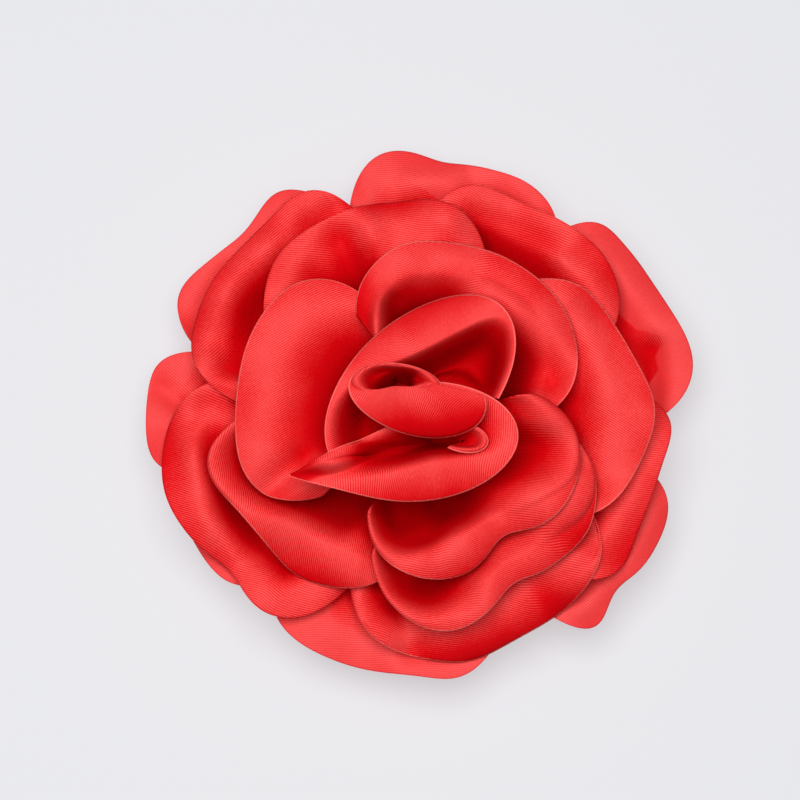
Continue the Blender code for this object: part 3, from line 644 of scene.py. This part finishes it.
def edged(nodes, colour, where, cloud, plain_edge, lit_through):
    """The satin's colour, with painted light coming through near the rim of a single layer, and singed along
    a raw edge.
    """
    to_rim = nodes.add("ShaderNodeAttribute", attribute_name="to_rim").outputs["Fac"]
    if lit_through:
        # painted light through a single layer, with a wandering border
        wandering = nodes.math("ADD", to_rim, nodes.vary(cloud, -LIT_THROUGH_WANDER, LIT_THROUGH_WANDER))
        colour = nodes.mix(nodes.ramp(wandering, *LIT_THROUGH_ENDS, LIT_THROUGH_SHARE, 0.0), colour, SATIN_LIT_THROUGH)
    if not plain_edge:
        nibble = noise(nodes, where, NIBBLE_SCALE, 2.0)
        singe = nodes.math("LESS_THAN", to_rim, nodes.vary(nibble, *SINGE_WIDTH))
        singe = nodes.math("MULTIPLY", singe, nodes.math("GREATER_THAN", to_rim, EDGE_FACE))
        colour = nodes.mix(nodes.math("MULTIPLY", singe, SINGE), colour, SINGED)
    return colour


def satin_finish(nodes, depth, shade_depth, ribs, slub):
    """Ribs are smoother than the furrows between them, and crests shine more than hollows."""
    rough = nodes.ramp(ribs, 0.0, 1.0, FURROW_ROUGHNESS, RIB_ROUGHNESS)
    rough = nodes.math("ADD", rough, nodes.vary(slub, -SLUB_ROUGHNESS, SLUB_ROUGHNESS))
    nodes.put(nodes.shader.inputs["Roughness"], rough)
    shine = nodes.ramp(depth, 0.0, shade_depth * SHINE_DEPTH, CREST_SHINE, HOLLOW_SHINE)
    nodes.put(nodes.shader.inputs["Specular IOR Level"], shine)
    nodes.shader.inputs["Specular Tint"].default_value = SHINE_TINT


def satin(name, grain, seed, shade_depth, plain_edge, lit_through):
    """Ribbed satin that lets a little light through."""
    nodes = Nodes(name)
    uv = nodes.add("ShaderNodeUVMap", uv_map="cloth").outputs["UV"]
    ribs = bands(nodes, uv, RIB_PITCH, -grain, RIB_WANDER)
    threads = bands(nodes, uv, THREAD_PITCH, -grain + math.pi / 2, THREAD_WANDER)
    shift = tuple(seed * length for length in SEED_SHIFT)
    where = nodes.add("ShaderNodeVectorMath", {0: uv, 1: shift}, operation="ADD").outputs[0]
    cloud = noise(nodes, where, CLOUD_SCALE, 2.0)
    slub = noise(nodes, where, SLUB_SCALE)
    depth = nodes.add("ShaderNodeAttribute", attribute_name="depth").outputs["Fac"]
    colour = satin_colour_and_shade(nodes, depth, shade_depth, ribs, cloud, slub)
    shader = nodes.shader
    nodes.put(shader.inputs["Base Color"], edged(nodes, colour, where, cloud, plain_edge, lit_through))
    satin_finish(nodes, depth, shade_depth, ribs, slub)
    height = nodes.math("MULTIPLY", ribs, RIB_SHARE)
    height = nodes.math("ADD", height, nodes.math("MULTIPLY", threads, 1.0 - RIB_SHARE))
    nodes.put(shader.inputs["Normal"], nodes.bump(height, WEAVE_HEIGHT, WEAVE_STRENGTH))
    through = nodes.add("ShaderNodeBsdfTranslucent", {"Color": THROUGH_RED})
    both = nodes.add("ShaderNodeMixShader", {0: THROUGH, 1: shader.outputs[0], 2: through.outputs[0]})
    out = nodes.tree.nodes["Material Output"]
    nodes.tree.links.new(both.outputs[0], out.inputs["Surface"])
    return nodes.material


# ---------------------------------------------------------------- backing and clip

# Discs and glue, mm
TURN_STEPS = 180
EDGE_STEPS = 9
PLATE_RINGS = (0.02, 0.3, 0.6, 0.85)           # rings on a disc's flat faces, as shares of its radius
FELT_EDGE = 0.45
BASE_EDGE = 0.25
GLUE_TIP = 0.1
GLUE_BEVEL = 0.3
MOST_LUMPS = 30                                # finest unevenness of an outline, waves per turn
FELT_UNEVEN = 0.0012
BASE_UNEVEN = 0.0005
GLUE_UNEVEN = 0.012
FELT_SEED = 11
BASE_SEED = 12
GLUE_SEED = 13

# Spring, mm
WIRE_RADIUS = 0.3
COIL_TURNS = 3.5
STEPS_PER_TURN = 32
LEG_STEPS = 12
WIRE_SIDES = 12

# Colours behind the petals
FELT_DARK = (0.36, 0.003, 0.006, 1.0)
FELT_LIGHT = (0.66, 0.020, 0.028, 1.0)
WEAVE_DARK = (0.34, 0.004, 0.008, 1.0)
WEAVE_LIGHT = (0.80, 0.030, 0.040, 1.0)
GLUE_CLEAR = (0.82, 0.74, 0.60, 1.0)
GLUE_MILKY = (0.93, 0.89, 0.80, 1.0)
FELT_SHEEN = (1.0, 0.3, 0.3, 1.0)
PLATED_DARK = (0.56, 0.56, 0.58, 1.0)
PLATED_LIGHT = (0.80, 0.80, 0.82, 1.0)
PIN_DARK = (0.52, 0.52, 0.54, 1.0)
PIN_LIGHT = (0.76, 0.76, 0.78, 1.0)
SPRING_DARK = (0.40, 0.41, 0.43, 1.0)
SPRING_LIGHT = (0.62, 0.62, 0.64, 1.0)

# Finishes behind the petals. SCALE = noise waves per mm, TONES = pattern values at which a light
# patch, a smear or a pit begins and is full, HEIGHT = bump in mm, STRENGTH = share of that bump,
# GRAIN and the two ways of the felt's strands = waves per mm along x, y and z.
ONE_WAY = (3.2, 0.7, 1.5)
OTHER_WAY = (0.8, 2.8, 1.5)
FELT_TONES = (0.4, 0.75)
DYE_SCALE = 0.12
DYE_TONE = 0.2
FELT_ROUGHNESS = 0.95
FELT_SHINE = 0.15
FELT_FUZZ = 0.25
FELT_HEIGHT = 0.25
CLOTH_STRENGTH = 0.8
BUCKRAM_PITCH = 0.8
BUCKRAM_WANDER = 0.5
BUCKRAM_TONES = (0.3, 0.9)
BUCKRAM_HEIGHT = 0.15
STIFFENER_SCALE = 0.5
STIFFENER_TONE = 0.15
STIFFENER_ROUGHNESS = (0.85, 0.55)
GLUE_CLOUD_SCALE = 0.35
GLUE_SKIN_SCALE = 1.5
GLUE_RIPPLE_SCALE = 0.8
GLUE_ROUGHNESS = (0.2, 0.4)
GLUE_CLEARNESS = 0.35
GLUE_HEIGHT = 0.3
GLUE_STRENGTH = 0.6
PLATED_GRAIN = (0.15, 7.0, 7.0)
PIN_GRAIN = (7.0, 0.3, 7.0)
SPRING_GRAIN = (6.0, 1.2, 6.0)
BRUSHED_ROUGHNESS = (0.20, 0.34)
SMEAR_SCALE = 0.22
SMEAR_TONES = (0.45, 0.7)
SMEAR_ROUGHNESS = 0.16
PIT_SCALE = 5.0
PIT_TONES = (0.70, 0.78)
PIT_ROUGHNESS = 0.2
BRUSH_SHARE = 0.3                              # depth of the brushing as a share of a pit's
STEEL_HEIGHT = 0.02
STEEL_STRENGTH = 0.5


def in_mm(node):
    """Lowest and highest corner of a CAD node in millimetres."""
    low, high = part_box(node)
    return np.array(low) / MM, np.array(high) / MM


def new_piece(name, points, faces, body, slot, finish, *nodes):
    """A smooth piece from points in mm that rides on a body in place of CAD nodes."""
    mesh = bpy.data.meshes.new(name)
    mesh.from_pydata((np.array(points) * MM).tolist(), [], faces)
    mesh.materials.append(finish)
    mesh.shade_smooth()
    thing = bpy.data.objects.new(name, mesh)
    bpy.context.scene.collection.objects.link(thing)
    if body:
        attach(thing, body)
    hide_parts(*nodes)
    return thing


def turned_shape(profile, uneven, seed):
    """Points and faces of a closed turned body; profile runs from the top down, uneven is a share."""
    rng = np.random.default_rng(seed)
    turn = np.linspace(0.0, 2 * math.pi, TURN_STEPS, endpoint=False)
    outline = np.ones(TURN_STEPS)
    for waves in range(2, MOST_LUMPS):
        outline += uneven / math.sqrt(waves) * np.sin(waves * turn + rng.uniform(0.0, 2 * math.pi))
    points = []
    for radius, height in profile:
        lumps = 1.0 + (outline - 1.0) * radius / max(r for r, _ in profile)
        points += [(radius * k * math.cos(a), radius * k * math.sin(a), height) for k, a in zip(lumps, turn)]
    faces = [tuple(range(TURN_STEPS))]
    for i in range(len(profile) - 1):
        for j in range(TURN_STEPS):
            a, b = i * TURN_STEPS + j, i * TURN_STEPS + (j + 1) % TURN_STEPS
            faces.append((a, a + TURN_STEPS, b + TURN_STEPS, b))
    faces.append(tuple(reversed(range((len(profile) - 1) * TURN_STEPS, len(profile) * TURN_STEPS))))
    return points, faces


def plate_profile(low, high, edge):
    """Section of a round plate with a soft edge."""
    radius = (high[0] - low[0]) / 2
    rings = [(radius * share, high[2]) for share in PLATE_RINGS]
    for turn in np.linspace(math.pi / 2, -math.pi / 2, EDGE_STEPS):
        side = high[2] - edge if turn > 0 else low[2] + edge
        rings.append((radius - edge + edge * math.cos(turn), side + edge * math.sin(turn)))
    return rings + [(radius * share, low[2]) for share in reversed(PLATE_RINGS)]


def place_in_mm(nodes):
    """Where a point lies on its own piece, in mm."""
    where = nodes.add("ShaderNodeTexCoord").outputs["Object"]
    return nodes.add("ShaderNodeVectorMath", {0: where, 1: (1 / MM,) * 3}, operation="MULTIPLY").outputs[0]


def stretched(nodes, where, amounts):
    """A place multiplied along x, y and z, so that a pattern on it gets finer."""
    return nodes.add("ShaderNodeVectorMath", {0: where, 1: amounts}, operation="MULTIPLY").outputs[0]


def felt():
    """Pressed fibres: short crossing strands, a fuzzy face and uneven dye."""
    nodes = Nodes("felt")
    where = place_in_mm(nodes)
    one_way = noise(nodes, stretched(nodes, where, ONE_WAY), 1.0, 5.0)
    other_way = noise(nodes, stretched(nodes, where, OTHER_WAY), 1.0, 5.0)
    strands = nodes.math("MAXIMUM", one_way, other_way)
    dye = nodes.vary(noise(nodes, where, DYE_SCALE), -DYE_TONE, DYE_TONE)
    tone = nodes.math("ADD", nodes.ramp(strands, *FELT_TONES), dye, clamp=True)
    nodes.put(nodes.shader.inputs["Base Color"], nodes.mix(tone, FELT_DARK, FELT_LIGHT))
    nodes.shader.inputs["Roughness"].default_value = FELT_ROUGHNESS
    nodes.shader.inputs["Specular IOR Level"].default_value = FELT_SHINE
    nodes.shader.inputs["Sheen Weight"].default_value = FELT_FUZZ
    nodes.shader.inputs["Sheen Tint"].default_value = FELT_SHEEN
    nodes.put(nodes.shader.inputs["Normal"], nodes.bump(strands, FELT_HEIGHT, CLOTH_STRENGTH))
    return nodes.material


def buckram():
    """Stiffened open weave: two sets of threads with darker gaps."""
    nodes = Nodes("buckram")
    where = place_in_mm(nodes)
    warp = bands(nodes, where, BUCKRAM_PITCH, 0.0, BUCKRAM_WANDER)
    weft = bands(nodes, where, BUCKRAM_PITCH, math.pi / 2, BUCKRAM_WANDER)
    cloth = nodes.math("MAXIMUM", warp, weft)
    stiffener = noise(nodes, where, STIFFENER_SCALE)
    patches = nodes.vary(stiffener, -STIFFENER_TONE, STIFFENER_TONE)
    tone = nodes.math("ADD", nodes.ramp(cloth, *BUCKRAM_TONES), patches, clamp=True)
    nodes.put(nodes.shader.inputs["Base Color"], nodes.mix(tone, WEAVE_DARK, WEAVE_LIGHT))
    nodes.put(nodes.shader.inputs["Roughness"], nodes.vary(stiffener, *STIFFENER_ROUGHNESS))
    nodes.put(nodes.shader.inputs["Normal"], nodes.bump(cloth, BUCKRAM_HEIGHT, CLOTH_STRENGTH))
    return nodes.material


def set_glue():
    """Cooled hot glue: clear and milky in patches, with a rippled skin."""
    nodes = Nodes("set_glue")
    where = place_in_mm(nodes)
    cloudy = noise(nodes, where, GLUE_CLOUD_SCALE)
    skin = noise(nodes, where, GLUE_SKIN_SCALE)
    ripples = noise(nodes, where, GLUE_RIPPLE_SCALE)
    nodes.put(nodes.shader.inputs["Base Color"], nodes.mix(cloudy, GLUE_CLEAR, GLUE_MILKY))
    nodes.put(nodes.shader.inputs["Roughness"], nodes.vary(skin, *GLUE_ROUGHNESS))
    nodes.shader.inputs["Transmission Weight"].default_value = GLUE_CLEARNESS
    nodes.put(nodes.shader.inputs["Normal"], nodes.bump(ripples, GLUE_HEIGHT, GLUE_STRENGTH))
    return nodes.material


def steel(name, dark, light, grain):
    """Nickel-plated steel: fine brushing along one direction, smears from handling, small pits."""
    nodes = Nodes(name)
    where = place_in_mm(nodes)
    brushed = noise(nodes, stretched(nodes, where, grain), 1.0, 4.0)
    pits = nodes.ramp(noise(nodes, where, PIT_SCALE, 2.0), *PIT_TONES)
    nodes.put(nodes.shader.inputs["Base Color"], nodes.mix(nodes.vary(brushed, 0.0, 1.0), dark, light))
    smears = nodes.ramp(noise(nodes, where, SMEAR_SCALE, 4.0), *SMEAR_TONES, 0.0, SMEAR_ROUGHNESS)
    rough = nodes.math("ADD", nodes.vary(brushed, *BRUSHED_ROUGHNESS), smears)
    rough = nodes.math("ADD", rough, nodes.math("MULTIPLY", pits, PIT_ROUGHNESS))
    nodes.put(nodes.shader.inputs["Roughness"], rough)
    nodes.shader.inputs["Metallic"].default_value = 1.0
    height = nodes.math("SUBTRACT", nodes.math("MULTIPLY", brushed, BRUSH_SHARE), pits)
    nodes.put(nodes.shader.inputs["Normal"], nodes.bump(height, STEEL_HEIGHT, STEEL_STRENGTH))
    return nodes.material


def make_backing():
    low, high = in_mm("felt_back")
    points, faces = turned_shape(plate_profile(low, high, FELT_EDGE), FELT_UNEVEN, FELT_SEED)
    new_piece("felt_disc", points, faces, "flower", "felt_red", felt(), "felt_back")
    low, high = in_mm("petal_base")
    points, faces = turned_shape(plate_profile(low, high, BASE_EDGE), BASE_UNEVEN, BASE_SEED)
    new_piece("stiff_disc", points, faces, "flower", "buckram_red", buckram(), "petal_base")
    low, high = in_mm("glue_pad")
    foot = high[2] - GLUE_PROFILE[-1][1]
    profile = [(max(r, GLUE_TIP), foot + h) for r, h in reversed(GLUE_PROFILE) if h > 0.0]
    profile.append((high[0] - GLUE_BEVEL, low[2]))
    points, faces = turned_shape(profile, GLUE_UNEVEN, GLUE_SEED)
    new_piece("glue_blob", points, faces, "flower", "set_glue", set_glue(), "glue_pad")


def wire_shape(path, radius):
    """Points and faces of a round wire along a path of points."""
    path = np.array(path)
    ahead = np.gradient(path, axis=0)
    ahead /= np.linalg.norm(ahead, axis=1)[:, None]
    side = np.cross(ahead, (0.0, 1.0, 0.0))
    side /= np.linalg.norm(side, axis=1)[:, None]
    up = np.cross(side, ahead)
    points = []
    for centre, u, v in zip(path, side, up):
        for turn in np.linspace(0.0, 2 * math.pi, WIRE_SIDES, endpoint=False):
            points.append(centre + radius * (math.cos(turn) * u + math.sin(turn) * v))
    faces = [tuple(reversed(range(WIRE_SIDES)))]
    for i in range(len(path) - 1):
        for j in range(WIRE_SIDES):
            a, b = i * WIRE_SIDES + j, i * WIRE_SIDES + (j + 1) % WIRE_SIDES
            faces.append((a, b, b + WIRE_SIDES, a + WIRE_SIDES))
    faces.append(tuple(range((len(path) - 1) * WIRE_SIDES, len(path) * WIRE_SIDES)))
    return points, faces


def make_spring():
    """Torsion spring round the pin, one leg under the fixed jaw and the other by the moving jaw; it is
    attached to no body, so that leg does not follow the jaw.
    """
    low, high = in_mm("clip_spring")
    pin_low, pin_high = in_mm("clip_pin")
    pin_x = (pin_low[0] + pin_high[0]) / 2
    pin_z = (pin_low[2] + pin_high[2]) / 2
    coil = (high[2] - low[2]) / 2 - WIRE_RADIUS
    half_width = (high[1] - low[1]) / 2 - WIRE_RADIUS
    path = [(x, -half_width, pin_z + coil) for x in np.linspace(low[0], pin_x, LEG_STEPS, endpoint=False)]
    steps = round(COIL_TURNS * STEPS_PER_TURN)
    for i in range(steps + 1):
        turn = 2 * math.pi * i / STEPS_PER_TURN
        y = half_width * (2 * i / steps - 1)
        path.append((pin_x + coil * math.sin(turn), y, pin_z + coil * math.cos(turn)))
    path += [(x, half_width, pin_z - coil) for x in np.linspace(pin_x, low[0], LEG_STEPS)[1:]]
    points, faces = wire_shape(path, WIRE_RADIUS)
    finish = steel("spring_steel", SPRING_DARK, SPRING_LIGHT, SPRING_GRAIN)
    spring = new_piece("spring_coil", points, faces, None, "spring_steel", finish, "clip_spring")
    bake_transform(spring)


def finish_clip():
    plated = steel("clip_steel", PLATED_DARK, PLATED_LIGHT, PLATED_GRAIN)
    turned = steel("pin_steel", PIN_DARK, PIN_LIGHT, PIN_GRAIN)
    finishes = {"clip_fixed_jaw": plated, "clip_moving_jaw": plated, "clip_pin": turned}
    for node, finish in finishes.items():
        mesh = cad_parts[node].data
        mesh.materials.clear()
        mesh.materials.append(finish)


# ---------------------------------------------------------------- stage

# Floor, light and camera: lengths in m, power in W
FLOOR = (0.22, 0.2212, 0.2298, 1.0)
FLOOR_ROUGHNESS = 0.6
FLOOR_GLOW = 2.25                              # keeps the shadow on the light table faint
FLOOR_HALF = 3.0
FLOOR_Z = -0.0002                              # just under the clip
WORLD_LIGHT = 0.19
KEY_SIZE = 0.60
KEY_POWER = 9.6
KEY_PLACE = (-0.06, 0.03, 0.93)
KEY_TARGET = (0.0, 0.0, 0.02)
CAMERA_ELEVATION = math.radians(82.0)
CAMERA_DISTANCE = 0.8
CAMERA_WIDTH = 0.16
CAMERA_TARGET = (-0.004, 0.003, 0.0201)
SENSOR = 36.0                                  # mm


def aim_at(thing, place, target):
    thing.location = place
    direction = [t - p for t, p in zip(target, place)]
    thing.rotation_euler = Vector(direction).to_track_quat("-Z", "Y").to_euler()


def make_floor():
    mesh = bpy.data.meshes.new("floor")
    corners = [(FLOOR_HALF * i, FLOOR_HALF * j, FLOOR_Z) for i, j in ((-1, -1), (1, -1), (1, 1), (-1, 1))]
    mesh.from_pydata(corners, [], [(0, 1, 2, 3)])
    floor = bpy.data.objects.new("floor", mesh)
    bpy.context.scene.collection.objects.link(floor)
    nodes = Nodes("floor")
    nodes.shader.inputs["Base Color"].default_value = FLOOR
    nodes.shader.inputs["Roughness"].default_value = FLOOR_ROUGHNESS
    nodes.shader.inputs["Emission Color"].default_value = FLOOR
    nodes.shader.inputs["Emission Strength"].default_value = FLOOR_GLOW
    mesh.materials.append(nodes.material)


def make_lights():
    world = bpy.data.worlds.new("studio")
    world.use_nodes = True
    world.node_tree.nodes["Background"].inputs["Color"].default_value = (1.0, 1.0, 1.0, 1.0)
    world.node_tree.nodes["Background"].inputs["Strength"].default_value = WORLD_LIGHT
    bpy.context.scene.world = world
    light = bpy.data.lights.new("key", "AREA")
    light.shape = "DISK"
    light.size = KEY_SIZE
    light.energy = KEY_POWER
    thing = bpy.data.objects.new("key", light)
    bpy.context.scene.collection.objects.link(thing)
    aim_at(thing, KEY_PLACE, KEY_TARGET)
    bpy.context.scene.view_settings.view_transform = "Standard"


def make_camera():
    camera = bpy.data.cameras.new("camera")
    camera.sensor_width = SENSOR
    camera.lens = SENSOR * CAMERA_DISTANCE / CAMERA_WIDTH
    thing = bpy.data.objects.new("camera", camera)
    bpy.context.scene.collection.objects.link(thing)
    x, y, z = CAMERA_TARGET
    back = CAMERA_DISTANCE * math.cos(CAMERA_ELEVATION)
    up = CAMERA_DISTANCE * math.sin(CAMERA_ELEVATION)
    aim_at(thing, (x, y - back, z + up), CAMERA_TARGET)
    bpy.context.scene.camera = thing


make_petals()
make_backing()
make_spring()
finish_clip()
make_floor()
make_lights()
make_camera()
bpy.context.view_layer.update()
